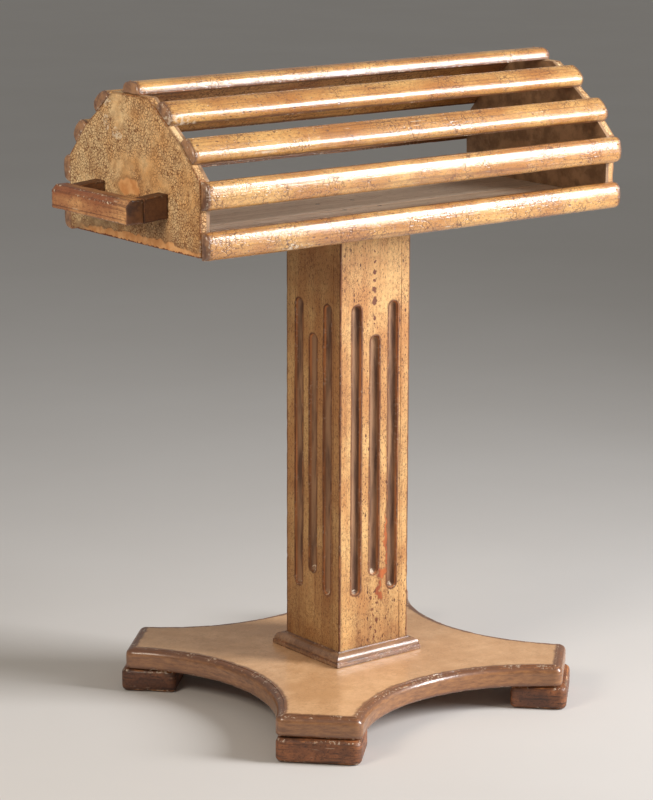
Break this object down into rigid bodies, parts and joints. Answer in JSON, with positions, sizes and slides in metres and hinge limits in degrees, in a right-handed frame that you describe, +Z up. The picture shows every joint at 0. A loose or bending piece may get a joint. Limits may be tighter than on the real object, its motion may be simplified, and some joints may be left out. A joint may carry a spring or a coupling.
{
  "type": "newspaper rack",
  "caption": "Slatted barrel-shaped rack with an end handle, on a fluted square column over a four-armed base with block feet; painted wood.",
  "frame": {"origin": "on the ground, under the middle of the overall length (handle included) and of the width", "axes": "+X along the slats away from the handle end, -Y towards the front, +Z up"},
  "size_m": [0.965, 0.6516, 1.1118],
  "materials": {
    "panel_paint": "crackled satin paint",
    "slat_paint": "worn gloss paint over orange wood",
    "column_paint": "crackled satin paint",
    "base_paint": "satin paint",
    "dark_paint": "worn dark satin paint",
    "bare_wood": "bare sawn wood",
    "screw_steel": "dull"
  },
  "bodies": {
    "root": {"base_board": "base_paint", "base_screw_1": "screw_steel", "base_screw_2": "screw_steel", "base_screw_3": "screw_steel", "base_screw_4": "screw_steel", "column_block_lower": "bare_wood", "column_block_upper": "bare_wood", "column_board_back": "column_paint", "column_board_front": "column_paint", "column_board_left": "column_paint", "column_board_right": "column_paint", "end_panel_left": "panel_paint", "end_panel_right": "panel_paint", "floor_board_back": "bare_wood", "floor_board_front": "bare_wood", "floor_screw_1": "screw_steel", "floor_screw_2": "screw_steel", "floor_screw_3": "screw_steel", "floor_screw_4": "screw_steel", "foot_back_left": "dark_paint", "foot_back_right": "dark_paint", "foot_front_left": "dark_paint", "foot_front_right": "dark_paint", "foot_screw_back_left_1": "screw_steel", "foot_screw_back_left_2": "screw_steel", "foot_screw_back_right_1": "screw_steel", "foot_screw_back_right_2": "screw_steel", "foot_screw_front_left_1": "screw_steel", "foot_screw_front_left_2": "screw_steel", "foot_screw_front_right_1": "screw_steel", "foot_screw_front_right_2": "screw_steel", "handle_arm_back": "dark_paint", "handle_arm_front": "dark_paint", "handle_bar": "dark_paint", "handle_dowel_back": "bare_wood", "handle_dowel_front": "bare_wood", "handle_screw_1": "screw_steel", "handle_screw_2": "screw_steel", "handle_screw_3": "screw_steel", "handle_screw_4": "screw_steel", "plinth_moulding_back": "dark_paint", "plinth_moulding_front": "dark_paint", "plinth_moulding_left": "dark_paint", "plinth_moulding_right": "dark_paint", "slat_back_1": "slat_paint", "slat_back_2": "slat_paint", "slat_back_3": "slat_paint", "slat_back_4": "slat_paint", "slat_front_1": "slat_paint", "slat_front_2": "slat_paint", "slat_front_3": "slat_paint", "slat_front_4": "slat_paint", "slat_top": "slat_paint"}
  },
  "joints": []
}
